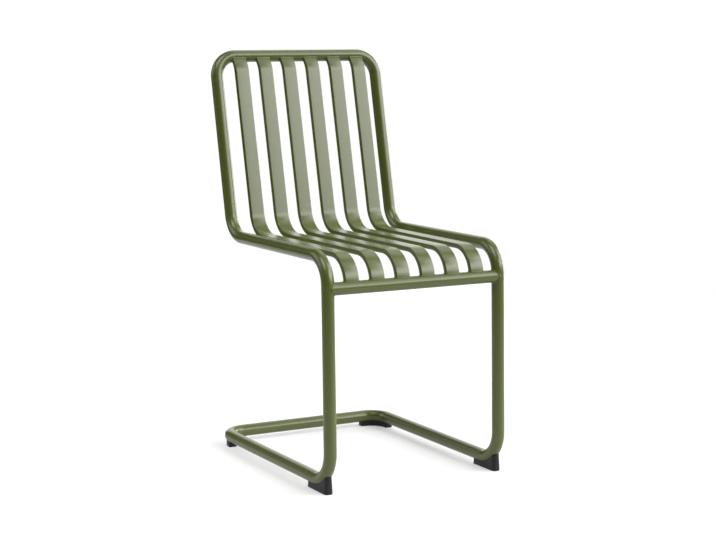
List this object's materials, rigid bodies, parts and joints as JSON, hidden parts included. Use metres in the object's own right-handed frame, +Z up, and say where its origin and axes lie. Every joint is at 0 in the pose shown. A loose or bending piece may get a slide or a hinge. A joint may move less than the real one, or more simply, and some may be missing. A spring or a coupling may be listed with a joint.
{
  "type": "outdoor cantilever chair",
  "caption": "Armless outdoor cantilever side chair: a bent round-tube loop without back legs carries a seat and back of spaced, bent flat slats.",
  "frame": {"origin": "on the floor, midway between the loop's foremost and rearmost points and between its two side tubes", "axes": "+X towards the right-hand side as seen from the front, +Y towards the back of the chair, +Z up; the sitter faces -Y"},
  "size_m": [0.402, 0.5374, 0.8293],
  "materials": {
    "powder_coat": "olive green, satin, fine-textured",
    "foot_plastic": "black, satin moulded",
    "zinc_steel": "zinc plated, satin"
  },
  "bodies": {
    "root": {"side_tube_left": "powder_coat", "side_tube_right": "powder_coat", "top_bow": "powder_coat", "base_bow": "powder_coat", "front_rail": "powder_coat", "slat_1": "powder_coat", "slat_2": "powder_coat", "slat_3": "powder_coat", "slat_4": "powder_coat", "slat_5": "powder_coat", "slat_6": "powder_coat", "foot_front_left": "foot_plastic", "foot_front_right": "foot_plastic", "foot_rear_left": "foot_plastic", "foot_rear_right": "foot_plastic", "sleeve_back_left": "zinc_steel", "sleeve_back_right": "zinc_steel", "sleeve_base_left": "zinc_steel", "sleeve_base_right": "zinc_steel", "foot_screws": "zinc_steel"}
  },
  "joints": []
}
